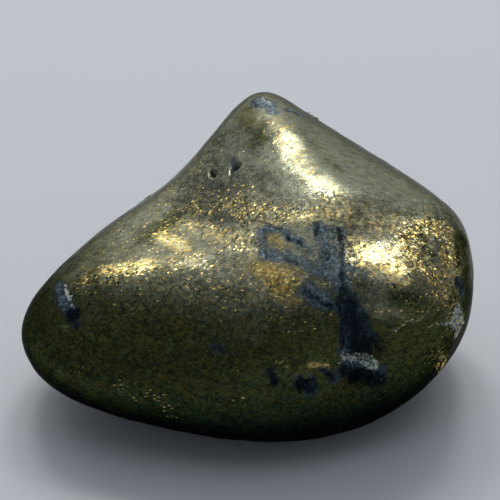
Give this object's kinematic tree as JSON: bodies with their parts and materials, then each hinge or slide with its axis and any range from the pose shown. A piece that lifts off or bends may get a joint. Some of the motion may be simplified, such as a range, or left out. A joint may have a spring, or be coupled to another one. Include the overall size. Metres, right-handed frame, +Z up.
{
  "type": "tumbled chalcopyrite stone",
  "caption": "Tumbled chalcopyrite stone with worn rounded faces, a ridge leaning from its summit, a low shoulder, a boss beside a groove, and a small flat spot to rest on.",
  "frame": {"origin": "middle of the stone's bounding box, at the height of the flat spot that it rests on", "axes": "+Z up from the flat spot, +X along the stone's length from the low left lobe to the right lobe, +Y towards the back, so the picture looks along +Y and down"},
  "size_m": [0.0322, 0.0246, 0.0188],
  "materials": {
    "polished_chalcopyrite": "worn metallic polish, bronze yellow under an olive tarnish, with fine grains, dark blue-grey spots and pale crusts"
  },
  "bodies": {
    "root": {"tumbled_stone": "polished_chalcopyrite"}
  },
  "joints": []
}
